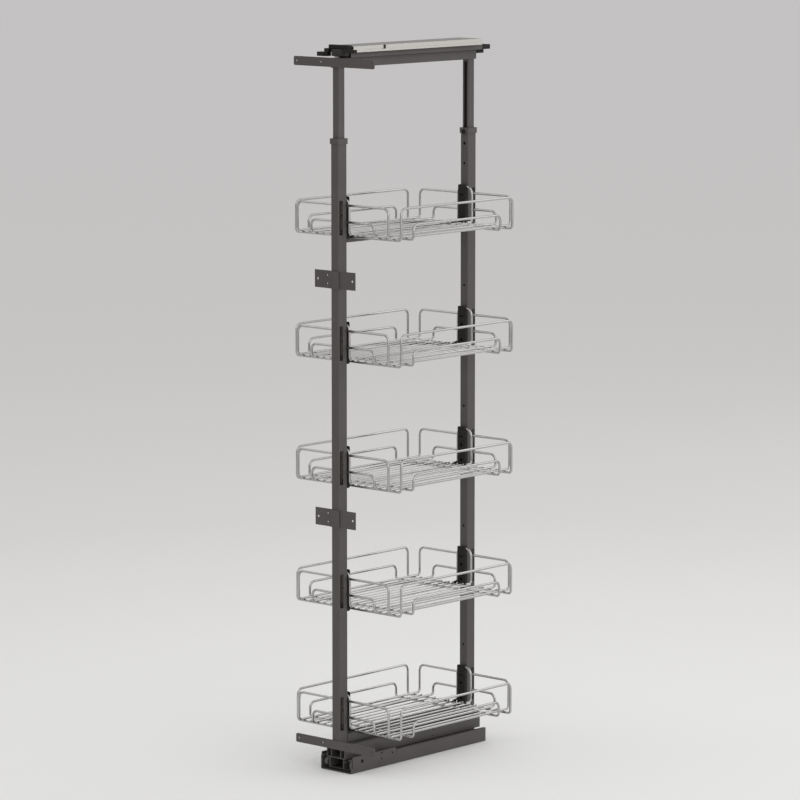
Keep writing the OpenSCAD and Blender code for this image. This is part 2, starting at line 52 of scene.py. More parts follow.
BASKET_COUNT = 5
BASKET_LOW = 97.0  # height of the lowest basket's cross wires, in mm
BASKET_PITCH = 304.0  # height from one basket to the next, in mm
LOG = logging.getLogger("larder")

Point = tuple[float, float, float]


# ------------------------------------------------------------------ colour and node helpers


def linear(hex_colour: str) -> tuple[float, float, float, float]:
    """Turns an sRGB hex colour into the linear colour that a shader socket takes.

    Args:
        hex_colour: six hex digits, such as "4e4a46".

    Returns:
        Red, green, blue and an alpha of 1, each from 0 to 1.
    """
    parts = np.array([int(hex_colour[i : i + 2], 16) for i in (0, 2, 4)]) / 255.0
    low, high = parts / 12.92, ((parts + 0.055) / 1.055) ** 2.4
    red, green, blue = np.where(parts <= 0.04045, low, high)
    return float(red), float(green), float(blue), 1.0


def add_node(
    tree: bpy.types.NodeTree, kind: str, settings: dict | None = None, inputs: dict | None = None
) -> bpy.types.Node:
    """Adds a shader node with its settings and links.

    Args:
        tree: the node tree that gets the node.
        kind: the node's type, such as "ShaderNodeTexNoise".
        settings: the node's own properties.
        inputs: socket name or number to a value, or to the output socket that feeds it.

    Returns:
        The new node.
    """
    node = tree.nodes.new(kind)
    for name, value in (settings or {}).items():
        setattr(node, name, value)
    for name, value in (inputs or {}).items():
        if isinstance(value, bpy.types.NodeSocket):
            tree.links.new(value, node.inputs[name])
        else:
            node.inputs[name].default_value = value
    return node


def set_ramp(node: bpy.types.Node, stops: Sequence[tuple[float, tuple]]) -> None:
    """Gives a Color Ramp node its stops, as pairs of a place and a colour."""
    ramp = node.color_ramp
    while len(ramp.elements) < len(stops):
        ramp.elements.new(0.5)
    for element, (place, colour) in zip(ramp.elements, stops):
        element.position, element.color = place, colour


# ------------------------------------------------------------------ finishes


class Slot(Enum):
    """The record's material slots."""

    STEEL = "steel_grey"
    CHROME = "chrome_wire"
    RAIL = "rail_aluminium"
    PIN = "axle_steel"
    BLACK = "black_plastic"
    ROLLER = "roller_plastic"
    GUIDE = "guide_plastic"


def per_metre(size_mm: float) -> float:
    """Turns a pattern's size in mm into a texture's scale, which counts patterns to a metre."""
    return 1 / (size_mm * MM)


@dataclass(frozen=True)
class Finish:
    """What all finishes share: a name, a base colour, a roughness and the nodes that vary them."""

    name: str
    colour: str
    roughness: float = 0.5

    def start(self) -> tuple[bpy.types.Material, bpy.types.NodeTree, bpy.types.Node, bpy.types.NodeSocket]:
        """Makes an empty node material.

        Returns:
            The material, its tree, its Principled BSDF and the object coordinates.
        """
        material = bpy.data.materials.new(self.name)
        material.use_nodes = True
        material.diffuse_color = linear(self.colour)
        tree = material.node_tree
        tree.nodes.clear()
        shader = add_node(tree, "ShaderNodeBsdfPrincipled", inputs={"Base Color": linear(self.colour)})
        add_node(tree, "ShaderNodeOutputMaterial", inputs={"Surface": shader.outputs["BSDF"]})
        place = add_node(tree, "ShaderNodeTexCoord").outputs["Object"]
        return material, tree, shader, place

    @staticmethod
    def noise(
        tree: bpy.types.NodeTree, vector: bpy.types.NodeSocket, scale: float, detail: float = 2.0
    ) -> bpy.types.NodeSocket:
        """Makes a soft noise.

        Args:
            tree: the material's tree.
            vector: the coordinates that it lies in.
            scale: its patches to a metre of the coordinates.
            detail: the number of finer layers.

        Returns:
            The noise's factor, from 0 to 1.
        """
        inputs = {"Vector": vector, "Scale": scale, "Detail": detail}
        return add_node(tree, "ShaderNodeTexNoise", inputs=inputs).outputs["Fac"]

    @staticmethod
    def layered(
        tree: bpy.types.NodeTree, fine: bpy.types.NodeSocket, share: float, coarse: bpy.types.NodeSocket
    ) -> bpy.types.NodeSocket:
        """Adds a share of a fine noise to a coarse one.

        Args:
            tree: the material's tree.
            fine: the fine noise.
            share: how much of it is added.
            coarse: the coarse noise.

        Returns:
            Their sum.
        """
        inputs = {0: fine, 1: share, 2: coarse}
        return add_node(tree, "ShaderNodeMath", {"operation": "MULTIPLY_ADD"}, inputs).outputs["Value"]

    def tones(
        self, tree: bpy.types.NodeTree, value: bpy.types.NodeSocket, dark: tuple, light: tuple
    ) -> bpy.types.NodeSocket:
        """Lets the base colour drift with a noise.

        Args:
            tree: the material's tree.
            value: the noise.
            dark: a value of the noise, and the factor on the base colour there.
            light: the same for the light end; a factor is one number or three.

        Returns:
            The colour.
        """
        base = np.array(linear(self.colour)[:3])
        ramp = add_node(tree, "ShaderNodeValToRGB", inputs={"Fac": value})
        set_ramp(ramp, [(stop, (*(base * factor), 1.0)) for stop, factor in (dark, light)])
        return ramp.outputs["Color"]

    def sheen(
        self, tree: bpy.types.NodeTree, value: bpy.types.NodeSocket, below: float, above: float
    ) -> bpy.types.NodeSocket:
        """Lets the roughness drift with a noise.

        Args:
            tree: the material's tree.
            value: the noise.
            below: how far the roughness falls where the noise is 0.
            above: how far it rises where the noise is 1.

        Returns:
            The roughness.
        """
        inputs = {"Value": value, "To Min": self.roughness - below, "To Max": self.roughness + above}
        return add_node(tree, "ShaderNodeMapRange", inputs=inputs).outputs["Result"]

    @staticmethod
    def relief(
        tree: bpy.types.NodeTree, height: bpy.types.NodeSocket, strength: float, depth_mm: float
    ) -> bpy.types.NodeSocket:
        """Makes a fine relief from a noise.

        Args:
            tree: the material's tree.
            height: the noise.
            strength: how much of the relief shows, from 0 to 1.
            depth_mm: its depth, in mm.

        Returns:
            The tilted surface directions.
        """
        inputs = {"Height": height, "Strength": strength, "Distance": depth_mm * MM}
        return add_node(tree, "ShaderNodeBump", inputs=inputs).outputs["Normal"]

    @staticmethod
    def feed(
        tree: bpy.types.NodeTree, shader: bpy.types.Node, sockets: dict[str, bpy.types.NodeSocket]
    ) -> None:
        """Links each socket to the shader's input of that name."""
        for name, socket in sockets.items():
            tree.links.new(socket, shader.inputs[name])

    def make(self) -> bpy.types.Material:
        """Makes the finish's material. Each finish has its own."""
        raise NotImplementedError


@dataclass(frozen=True)
class PowderCoat(Finish):
    """Polyester powder coat on steel sheet and tube, baked: a matt skin with a fine orange peel.

    The eye sees an even brown-grey whose sheen breaks up a little, because the powder melts in drops.
    """

    roughness: float = 0.46
    peel_mm: float = 4.0  # real peel is about 1 mm, drawn coarser so that it shows
    grit_mm: float = 1.2  # real grit is about 0.1 mm, drawn coarser so that it shows
    cloud_mm: float = 90.0  # slow drift of the film's thickness along a tube

    def make(self) -> bpy.types.Material:
        """Makes the powder coat's material."""
        material, tree, shader, place = self.start()
        peel = self.noise(tree, place, per_metre(self.peel_mm))
        grit = self.noise(tree, place, per_metre(self.grit_mm), detail=3.0)
        cloud = self.noise(tree, place, per_metre(self.cloud_mm))
        drift = self.layered(tree, grit, 0.35, cloud)
        skin = self.layered(tree, grit, 0.3, peel)
        self.feed(tree, shader, {
            "Base Color": self.tones(tree, drift, (0.4, 0.9), (0.95, 1.1)),
            "Roughness": self.sheen(tree, peel, 0.06, 0.08),
            "Normal": self.relief(tree, skin, 0.25, 0.15),
        })
        shader.inputs["IOR"].default_value = 1.5
        return material


@dataclass(frozen=True)
class ChromePlate(Finish):
    """Bright nickel-chrome plate on drawn steel wire: a mirror with the faint waves of the drawn wire.

    The eye sees the room as thin light and dark lines along each wire.
    """

    roughness: float = 0.1
    wave_mm: float = 14.0  # straightening waves along the wire
    haze_mm: float = 3.0  # patches where the plate is a touch duller, near the welds

    def make(self) -> bpy.types.Material:
        """Makes the chrome's material."""
        material, tree, shader, place = self.start()
        wave = self.noise(tree, place, per_metre(self.wave_mm))
        haze = self.noise(tree, place, per_metre(self.haze_mm), detail=3.0)
        self.feed(tree, shader, {
            "Base Color": self.tones(tree, wave, (0.3, (0.94, 0.94, 0.95)), (0.7, 1.0)),
            "Roughness": self.sheen(tree, haze, 0.04, 0.08),
            "Normal": self.relief(tree, wave, 0.15, 0.2),
        })
        shader.inputs["Metallic"].default_value = 1.0
        return material


@dataclass(frozen=True)
class DrawnMetal(Finish):
    """Extruded, rolled or turned metal, left bare or with a clear or zinc skin: satin, with fine lines.

    The eye sees soft streaks that run along the piece, from the die, the mill or the lathe.
    """

    roughness: float = 0.34
    line_mm: Point = (0.6, 60.0, 0.6)  # width and length of a streak, drawn coarser than the real 0.1 mm

    def make(self) -> bpy.types.Material:
        """Makes the metal's material."""
        material, tree, shader, place = self.start()
        stretch = tuple(per_metre(size) for size in self.line_mm)
        along = add_node(tree, "ShaderNodeMapping", inputs={"Vector": place, "Scale": stretch})
        line = self.noise(tree, along.outputs["Vector"], 1.0, detail=4.0)
        self.feed(tree, shader, {
            "Base Color": self.tones(tree, line, (0.25, 0.88), (0.75, 1.0)),
            "Roughness": self.sheen(tree, line, 0.08, 0.1),
            "Normal": self.relief(tree, line, 0.2, 0.05),
        })
        shader.inputs["Metallic"].default_value = 1.0
        return material


@dataclass(frozen=True)
class MouldedPlastic(Finish):
    """Injection-moulded polyamide or acetal: a dark or grey plastic with the grain of a spark-eroded mould.

    The eye sees a soft, slightly uneven sheen.
    """

    roughness: float = 0.55
    grain_mm: float = 1.5  # real grain is about 0.2 mm, drawn coarser so that it shows
    flow_mm: float = 12.0  # patches left by the flow of the melt
    specular: float = 0.15  # low, because the grain scatters most of the shine

    def make(self) -> bpy.types.Material:
        """Makes the plastic's material."""
        material, tree, shader, place = self.start()
        cells = {"Vector": place, "Scale": per_metre(self.grain_mm)}
        grain = add_node(tree, "ShaderNodeTexVoronoi", inputs=cells)
        flow = self.noise(tree, place, per_metre(self.flow_mm), detail=3.0)
        self.feed(tree, shader, {
            "Base Color": self.tones(tree, flow, (0.3, 0.82), (0.75, 1.15)),
            "Roughness": self.sheen(tree, flow, 0.08, 0.08),
            "Normal": self.relief(tree, grain.outputs["Distance"], 0.2, 0.1),
        })
        shader.inputs["Specular IOR Level"].default_value = self.specular
        return material


FINISHES: dict[Slot, Finish] = {
    # The eye sees a matt, dark brown-grey on every sheet and tube
    Slot.STEEL: PowderCoat("polyester_powder_coat_baked", "4b4746"),
    # The eye sees bright wires with dark lines along them
    Slot.CHROME: ChromePlate("nickel_chrome_plated_drawn_wire", "bab9b8"),
    # The eye sees a pale, satin strip
    Slot.RAIL: DrawnMetal("anodised_aluminium_extruded", "cdcac6"),
    # The eye sees small dark heads and ends with a dull shine
    Slot.PIN: DrawnMetal("black_zinc_plated_steel_turned", "2b2a2a", 0.4, line_mm=(0.5, 0.5, 0.5)),
    # The eye sees a nearly black, dull plastic
    Slot.BLACK: MouldedPlastic("glass_filled_polyamide_moulded", "282624"),
    # The eye sees a mid grey, smoother plastic inside the runner
    Slot.ROLLER: MouldedPlastic("acetal_moulded_rollers", "6f6d6a", 0.36, specular=0.4),
    # The eye sees a black disc with a soft shine under the rail
    Slot.GUIDE: MouldedPlastic("polyamide_guide_roller_moulded", "2e2a28", 0.45, specular=0.3),
}

# Inside the posts a pale colour is painted on the walls: painted light, so that the eye sees a lighter grey
# deep in their slots
SLOT_FILL_PAINTED_LIGHT = DrawnMetal("painted_light_in_post_slots", "a3a09c", 0.5)


class Paint:
    """Makes each finish once and puts it on pieces."""

    def __init__(self) -> None:
        """Makes all the materials."""
        self.materials = {slot: finish.make() for slot, finish in FINISHES.items()}
        # painted light: a pale colour for the posts' inner walls, standing for light deep in their slots
        self.bare = SLOT_FILL_PAINTED_LIGHT.make()

    def put(self, piece: bpy.types.Object, slot: Slot) -> None:
        """Gives a piece one finish all over."""
        piece.data.materials.clear()
        piece.data.materials.append(self.materials[slot])


# ------------------------------------------------------------------ surfaces


@dataclass
class Surface:
    """Points in mm, in the unit's frame, and faces as rows of point numbers."""

    points: np.ndarray
    faces: list[list[int]]

    @staticmethod
    def joined(surfaces: Iterable["Surface"]) -> "Surface":
        """Puts several surfaces into one, each with its own points."""
        points, faces, start = [], [], 0
        for surface in surfaces:
            points.append(surface.points)
            faces += [[start + i for i in face] for face in surface.faces]
            start += len(surface.points)
        return Surface(np.vstack(points), faces)

    def piece(self, name: str) -> bpy.types.Object:
        """Makes a smoothly shaded mesh object at the origin from the surface.

        Args:
            name: the object's name.

        Returns:
            The new object, with its poles closed and its faces outwards.
        """
        mesh = bpy.data.meshes.new(name)
        mesh.from_pydata((self.points * MM).tolist(), [], self.faces)
        work = bmesh.new()
        work.from_mesh(mesh)
        bmesh.ops.remove_doubles(work, verts=work.verts, dist=1e-7)
        bmesh.ops.recalc_face_normals(work, faces=work.faces)
        work.to_mesh(mesh)
        work.free()
        piece = bpy.data.objects.new(name, mesh)
        bpy.context.scene.collection.objects.link(piece)
        shade(piece, sharp_deg=35.0)
        return piece


def shade(piece: bpy.types.Object, sharp_deg: float) -> None:
    """Shades a mesh smoothly and keeps edges sharper than sharp_deg sharp."""
    mesh = piece.data
    mesh.polygons.foreach_set("use_smooth", np.ones(len(mesh.polygons), bool))
    mesh.set_sharp_from_angle(angle=math.radians(sharp_deg))


def bent_path(corners: Sequence[Point], radius: float, steps: int = 8) -> np.ndarray:
    """Rounds the corners of a line of straight stretches with arcs.

    At a corner P between unit directions a and b that meet at angle f, the arc's centre is P plus
    the bisector times radius / sin(f / 2). The arc is centre + radius (u cos s + w sin s), where u
    points to the first tangent point, w is square to it, and s goes from 0 to pi - f.

    Args:
        corners: the ends and corners, in mm.
        radius: the bend radius of the wire's middle.
        steps: stretches along each arc.

    Returns:
        The points of the path.
    """
    line = np.array(corners, float)
    path = [line[0]]
    for before, corner, after in zip(line[:-2], line[1:-1], line[2:]):
        a = (before - corner) / np.linalg.norm(before - corner)
        b = (after - corner) / np.linalg.norm(after - corner)
        half = math.acos(float(np.clip(a @ b, -1, 1))) / 2
        middle = (a + b) / np.linalg.norm(a + b)
        centre = corner + middle * radius / math.sin(half)
        u = corner + a * radius / math.tan(half) - centre
        end = corner + b * radius / math.tan(half) - centre
        w = end - u * (end @ u) / (u @ u)
        w *= radius / np.linalg.norm(w)
        turn = np.linspace(0, math.pi - 2 * half, steps + 1)[:, None]
        path.extend(centre + u * np.cos(turn) + w * np.sin(turn))
    path.append(line[-1])
    return np.array(path)


def wire(path: np.ndarray, diameter: float, sides: int = 12) -> Surface:
    """Carries a circle along a path, with a small chamfer at both cut ends.

    Ring k is path_k + r (N_k cos t + B_k sin t). N_k is the ring before's N, made square to the
    path, so that the tube doesn't twist, and B_k is the path's direction times N_k.

    Args:
        path: the wire's middle line, in mm.
        diameter: the wire's diameter.
        sides: points around each ring.

    Returns:
        The closed tube.
    """
    steps = np.diff(path, axis=0)
    keep = np.r_[True, np.linalg.norm(steps, axis=1) > 1e-6]
    path = path[keep]
    along = np.gradient(path, axis=0)
    along[0], along[-1] = path[1] - path[0], path[-1] - path[-2]
    along /= np.linalg.norm(along, axis=1)[:, None]
    edge = 0.12 * diameter
    starts = [path[0], path[0] + along[0] * edge]
    ends = [path[-1] - along[-1] * edge, path[-1]]
    path = np.vstack([*starts, path[1:-1], *ends])
    along = np.vstack([along[0], along[0], along[1:-1], along[-1], along[-1]])
    radius = np.full(len(path), diameter / 2)
    radius[[0, -1]] = diameter / 2 - edge
    normal = np.zeros_like(path)
    first = np.eye(3)[np.argmin(np.abs(along[0]))]
    for k, direction in enumerate(along):
        first = first - direction * (first @ direction)
        first /= np.linalg.norm(first)
        normal[k] = first
    side = np.cross(along, normal)
    turn = np.linspace(0, 2 * math.pi, sides, endpoint=False)[None, :, None]
    spokes = normal[:, None] * np.cos(turn) + side[:, None] * np.sin(turn)
    rings = path[:, None] + radius[:, None, None] * spokes
    faces = grid_faces(len(path), sides)
    last = (len(path) - 1) * sides
    faces += [list(range(sides))[::-1], [last + i for i in range(sides)]]
    return Surface(rings.reshape(-1, 3), faces)


def grid_faces(rows: int, columns: int, closed_rows: bool = False) -> list[list[int]]:
    """Numbers the four-sided faces of a grid that is closed round its columns.

    Args:
        rows: number of rings.
        columns: points in each ring.
        closed_rows: joins the last ring to the first as well.

    Returns:
        The faces, each as four point numbers.
    """
    count = rows if closed_rows else rows - 1
    row, column = np.meshgrid(np.arange(count), np.arange(columns), indexing="ij")
    below, right = (row + 1) % rows, (column + 1) % columns
    quads = np.stack(
        [row * columns + column, row * columns + right, below * columns + right, below * columns + column], -1
    )
    return quads.reshape(-1, 4).tolist()


def turned(
    profile: Sequence[tuple[float, float]],
    place: Point,
    axis: Point,
    segments: int = 48,
    lobes: Sequence[float] = (),
) -> Surface:
    """Turns a profile round an axis, as on a lathe.

    A profile point at height h and radius r gives the ring place + h A + r (1 + q cos 6t)
    (U cos t + V sin t), with A along the axis and U and V square to it. q is 0 apart from a
    screw's drive recess.

    Args:
        profile: pairs of height and radius, in mm. One that starts and ends at radius 0 is a
            solid; any other is a ring with a bore.
        place: the point where the height is 0.
        axis: the direction of the height.
        segments: points around each ring.
        lobes: q of each profile point.

    Returns:
        The closed surface.
    """
    shape = np.array(profile, float)
    along = np.array(axis, float)
    first = np.eye(3)[np.argmin(np.abs(along))]
    first = np.cross(along, first)
    first /= np.linalg.norm(first)
    second = np.cross(along, first)
    turn = np.linspace(0, 2 * math.pi, segments, endpoint=False)
    wave = np.array(lobes if len(lobes) else np.zeros(len(shape)))
    radius = shape[:, 1:2] * (1 + wave[:, None] * np.cos(6 * turn)[None])
    spokes = first * np.cos(turn)[:, None] + second * np.sin(turn)[:, None]
    points = np.array(place) + shape[:, None, :1] * along + radius[..., None] * spokes[None]
    solid = shape[0, 1] == 0 and shape[-1, 1] == 0
    return Surface(points.reshape(-1, 3), grid_faces(len(shape), segments, closed_rows=not solid))


def weld_beads(places: np.ndarray, half: Point) -> Surface:
    """Puts a small flat bead of weld at each crossing of two wires.

    A bead is the ellipsoid (a cos p cos t, b cos p sin t, c sin p) with half axes a, b and c.

    Args:
        places: the crossings, one row each, in mm.
        half: the half axes a, b and c.

    Returns:
        All the beads.
    """
    columns, rows = 8, 5
    turn = np.linspace(0, 2 * math.pi, columns, endpoint=False)
    rise = np.linspace(-math.pi / 2, math.pi / 2, rows)
    shape = np.stack(
        [
            np.outer(np.cos(rise), np.cos(turn)),
            np.outer(np.cos(rise), np.sin(turn)),
            np.outer(np.sin(rise), np.ones(columns)),
        ],
        -1,
    ) * np.array(half)
    faces = grid_faces(rows, columns)
    beads = [Surface(place + shape.reshape(-1, 3), faces) for place in places]
    return Surface.joined(beads)


# ------------------------------------------------------------------ sub-assemblies


@dataclass
class WireBasket:
    """One wire basket: floor, guard rails and hanging arches, in mm."""

    number: int  # from 1 at the top
    paint: Paint
    wire_pitch: float = 23.0
    thin_wires: tuple[int, ...] = (1, 3, 4, 5, 6, 7, 8, 9, 10, 12)  # in pitches, from the left end rail
    thick: float = 6.0
    thin: float = 4.0
    weld: float = 0.4
    side_y: tuple[float, float] = (203.5, 159.0)
    guard_h: tuple[float, float] = (77.0, 36.5)
    end_y: float = 223.2
    guard_bend: float = 16.0
    foot_bend: float = 8.0
    thin_reach: float = 207.5
    hanger_legs: tuple[float, float] = (-16.5, 28.5)
    hanger_y: float = 217.6
    hanger_top: float = 92.0
    hanger_bend: float = 17.0
    hanger_mid: float = 40.0
    hanger_foot: float = 8.0
    bead: Point = (1.9, 1.9, 0.9)

    @property
    def half_x(self) -> float:
        """Distance of the side rails from the middle."""
        return 7.5 * self.wire_pitch

    @property
    def end_x(self) -> tuple[float, float]:
        """Distances of the end rails' uprights from the middle."""
        return 6.5 * self.wire_pitch, 4.5 * self.wire_pitch

    @property
    def long_z(self) -> float:
        """Height of the thick floor wires above the cross wires."""
        return self.thick - self.weld

    def placed(self, surface: Surface) -> Surface:
        """Moves a surface from the basket's own cross wires to its place in the unit."""
        height = BASKET_LOW + (BASKET_COUNT - self.number) * BASKET_PITCH
        return Surface(surface.points + [0.0, MID_Y, height], surface.faces)

    def floor(self) -> Surface:
        """Makes the cross wires, the wires that lie on them and the weld at each crossing."""
        wires, crossings = [], []
        across = self.half_x - self.foot_bend
        rows = [sign * y for y in self.side_y for sign in (-1, 1)]
        for y in rows:
            wires.append(wire(np.array([(-across, y, 0), (across, y, 0)], float), self.thick))
        reach = self.end_y - self.foot_bend
        for x in [sign * x for x in self.end_x for sign in (-1, 1)]:
            line = np.array([(x, -reach, self.long_z), (x, reach, self.long_z)], float)
            wires.append(wire(line, self.thick))
            crossings += [(x, y, self.thick / 2 - self.weld / 2) for y in rows]
        height = (self.thick + self.thin) / 2 - self.weld
        for n in self.thin_wires:
            x = n * self.wire_pitch - self.end_x[0]
            line = np.array([(x, -self.thin_reach, height), (x, self.thin_reach, height)], float)
            wires.append(wire(line, self.thin, sides=10))
            crossings += [(x, y, self.thick / 2 - self.weld / 2) for y in rows]
        beads = weld_beads(np.array(crossings), self.bead)
        return Surface.joined([*wires, beads])

    def side_rails(self) -> Surface:
        """Makes the tall and the short guard rail of both sides, each one bent wire."""
        wires = []
        for sign in (-1, 1):
            x, foot = sign * self.half_x, sign * (self.half_x - self.foot_bend)
            for y, z in zip(self.side_y, self.guard_h):
                lower = bent_path([(foot, -y, 0), (x, -y, 0), (x, -y, z / 2)], self.foot_bend)
                upper = bent_path([(x, -y, z / 2), (x, -y, z), (x, y, z), (x, y, z / 2)], self.guard_bend)
                back = bent_path([(x, y, z / 2), (x, y, 0), (foot, y, 0)], self.foot_bend)
                wires.append(wire(np.vstack([lower, upper[1:], back[1:]]), self.thick))
        return Surface.joined(wires)

    def end_rails(self) -> Surface:
        """Makes the guard rails and the hanging arch of both ends."""
        wires = []
        for end in (-1, 1):
            y = end * self.end_y
            for sign in (-1, 1):
                for x, z in zip(self.end_x, self.guard_h):
                    low = z / 2 + self.long_z
                    foot = (sign * x, y - end * self.foot_bend, self.long_z)
                    lower = bent_path([foot, (sign * x, y, self.long_z), (sign * x, y, low)], self.foot_bend)
                    leg = self.legs(end)[0 if sign < 0 else 1]
                    upper = bent_path([(sign * x, y, low), (sign * x, y, z), (leg, y, z)], self.guard_bend)
                    wires.append(wire(np.vstack([lower, upper[1:]]), self.thick))
            wires.append(wire(self.arch(end), self.thick))
        return Surface.joined(wires)

    def legs(self, end: int) -> tuple[float, float]:
        """Gives the X of the arch's two legs; the front arch is the back one turned half round."""
        left, right = self.hanger_legs
        return (left, right) if end > 0 else (-right, -left)

    def arch(self, end: int) -> np.ndarray:
        """Traces the hanging arch at one end, foot to foot.

        Args:
            end: -1 for the front end, 1 for the back end.

        Returns:
            The arch's path.
        """
        y, rest, top = end * self.hanger_y, self.thick, self.hanger_top
        left, right = self.legs(end)
        inner, mid = end * (self.thin_reach - self.hanger_foot), self.hanger_mid
        up = bent_path([(left, inner, rest), (left, y, rest), (left, y, mid)], self.foot_bend)
        over = bent_path([(left, y, mid), (left, y, top), (right, y, top), (right, y, mid)], self.hanger_bend)
        down = bent_path([(right, y, mid), (right, y, rest), (right, inner, rest)], self.foot_bend)
        return np.vstack([up, over[1:], down[1:]])

    def build(self) -> None:
        """Makes the three pieces of the basket and dresses them."""
        makers = {"floor": self.floor, "side_rails": self.side_rails, "end_rails": self.end_rails}
        for part, make in makers.items():
            node = f"basket_{self.number}_{part}"
            piece = self.placed(make()).piece(f"{node}_wires")
            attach(piece, f"basket_{self.number}")
            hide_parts(node)
            self.paint.put(piece, Slot.CHROME)
            LOG.info("%s: %d faces", piece.name, len(piece.data.polygons))


@dataclass
class SheetAndTube:
    """Steel, aluminium and moulded pieces whose edges get the small round that bending or a mould leaves."""

    paint: Paint
    body: str
    nodes: dict[str, tuple[Slot, float]]

    def build(self) -> None:
        """Makes a rounded copy of each node, which stands for it."""
        for node, (slot, edge) in self.nodes.items():
            piece = self.rounded(node, edge)
            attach(piece, self.body)
            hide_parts(node)
            self.paint.put(piece, slot)
            if node in POST_MIDS:
                self.paint_light_inside(piece, POST_MIDS[node])
            LOG.info("%s: edges rounded by %.2f mm", piece.name, edge)

    def paint_light_inside(self, piece: bpy.types.Object, mid_y: float) -> None:
        """Paints the inner walls of an upright tube a pale colour, as painted light, which shows faintly
        through its slots.

        Args:
            piece: the finished tube.
            mid_y: the Y of its middle, in mm.
        """
        play = 0.2  # in mm, so that the inner walls themselves count
        reach_x, reach_y = (side / 2 + play for side in POST_HOLLOW)
        # the second slot is painted light on the tube's inner walls
        piece.data.materials.append(self.paint.bare)
        for face in piece.data.polygons:
            x, y = face.center.x / MM, face.center.y / MM - mid_y
            if abs(face.normal.z) < 0.5 and abs(x) < reach_x and abs(y) < reach_y:
                face.material_index = 1

    @staticmethod
    def rounded(node: str, edge: float) -> bpy.types.Object:
        """Copies a CAD node's mesh, closes it and rounds its edges.

        Args:
            node: the CAD node.
            edge: the width of the rounding, in mm.

        Returns:
            The copy, with a live Bevel modifier.
        """
        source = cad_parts[node]
        mesh = source.data.copy()
        mesh.name = f"{node}_finished"
        work = bmesh.new()
        work.from_mesh(mesh)
        bmesh.ops.remove_doubles(work, verts=work.verts, dist=2e-6)
        bmesh.ops.dissolve_limit(work, angle_limit=0.002, verts=work.verts, edges=work.edges)
        work.to_mesh(mesh)
        work.free()
        piece = bpy.data.objects.new(mesh.name, mesh)
        bpy.context.scene.collection.objects.link(piece)
        if mesh.has_custom_normals:
            mesh.normals_split_custom_set([(0.0, 0.0, 0.0)] * len(mesh.loops))
        shade(piece, sharp_deg=30.0)
        bevel = piece.modifiers.new("rounded_edges", "BEVEL")
        bevel.width = edge * MM
        bevel.segments = 2
        bevel.limit_method = "ANGLE"
        bevel.angle_limit = math.radians(40)
        bevel.harden_normals = True
        bevel.use_clamp_overlap = True
        return piece


@dataclass
class RollerPair:
    """Two rollers on one axle line: a crowned tread, a web and a hub, in mm."""

    paint: Paint
    node: str
    body: str
    radius: float
    height: float
    y: float
    inner: float
    outer: float
    bore: float = 3.05

    def profile(self) -> list[tuple[float, float]]:
        """Gives the ring's section as pairs of height along the axle and radius."""
        width = self.outer - self.inner
        near, far = width * 0.18, width * 0.82
        tread, hub, rim = self.radius, self.bore + 1.8, self.radius - 1.6
        return [
            (0.0, self.bore), (0.0, hub), (near, hub + 0.3), (near, rim - 0.3), (0.0, rim),
            (0.0, tread - 0.8), (0.25, tread - 0.25), (0.9, tread),
            (width - 0.9, tread), (width - 0.25, tread - 0.25), (width, tread - 0.8),
            (width, rim), (far, rim - 0.3), (far, hub + 0.3), (width, hub), (width, self.bore),
        ]  # fmt: skip

    def build(self) -> None:
        """Makes both rollers as one piece."""
        rollers = [
            turned(self.profile(), (sign * self.inner, self.y + MID_Y, self.height), (sign, 0, 0))
            for sign in (-1, 1)
        ]
        piece = Surface.joined(rollers).piece(f"{self.node}_turned")
        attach(piece, self.body)
        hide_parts(self.node)
        self.paint.put(piece, Slot.ROLLER)
        LOG.info("%s: radius %.1f mm", piece.name, self.radius)


@dataclass
class GuideRoller:
    """The big roller under the front of the top rail, in mm."""

    paint: Paint
    radius: float = 23.5
    low: float = 1748.6
    high: float = 1764.8
    y: float = -227.0
    bore: float = 4.05

    def build(self) -> None:
        """Makes the roller with its rounded rim, its recess below and a ring groove on both faces."""
        tall, rim = self.high - self.low, self.radius
        profile = [
            (2.8, self.bore), (2.8, 7.0), (0.0, 7.0), (0.0, 12.0), (0.8, 12.6), (0.8, 15.4), (0.0, 16.0),
            (0.0, rim - 1.8), (0.5, rim - 0.5), (1.8, rim), (tall - 1.8, rim), (tall - 0.5, rim - 0.5),
            (tall, rim - 1.8), (tall, 16.0), (tall - 0.8, 15.4), (tall - 0.8, 12.6), (tall, 12.0),
            (tall, self.bore),
        ]  # fmt: skip
        roller = turned(profile, (0, self.y + MID_Y, self.low), (0, 0, 1), segments=96)
        piece = roller.piece("guide_roller_turned")
        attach(piece, "top_roller")
        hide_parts("guide_roller")
        self.paint.put(piece, Slot.GUIDE)
        LOG.info("%s: radius %.1f mm", piece.name, self.radius)


@dataclass
class PanScrews:
    """Pan-head screws with a six-lobed drive recess, in mm."""

    paint: Paint
    node: str
    slot: Slot
    places: list[tuple[Point, Point]]
    head: float
    tall: float
    shank: float
    length: float

    def screw(self, place: Point, axis: Point) -> Surface:
        """Makes one screw: place is where the head meets the work, axis points out of the head."""
        r, h = self.head / 2, self.tall
        profile = [
            (-self.length, 0), (-self.length, self.shank / 2 - 0.4), (-self.length + 0.6, self.shank / 2),
            (0, self.shank / 2), (0, r - 0.15), (0.25, r), (h * 0.45, r), (h * 0.85, r * 0.8), (h, r * 0.52),
            (h, r * 0.44), (h * 0.25, r * 0.4), (h * 0.25, 0),
        ]  # fmt: skip
        lobes = [0.0] * 9 + [0.1, 0.1, 0.0]  # only the drive's recess is lobed
        return turned(profile, place, axis, segments=24, lobes=lobes)

    def build(self, body: str) -> None:
        """Makes all the screws of a node as one piece."""
        piece = Surface.joined(self.screw(*spot) for spot in self.places).piece(f"{self.node}_turned")
        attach(piece, body)
        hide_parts(self.node)
        self.paint.put(piece, self.slot)
        LOG.info("%s: %d screws", piece.name, len(self.places))


# ------------------------------------------------------------------ light, floor and camera


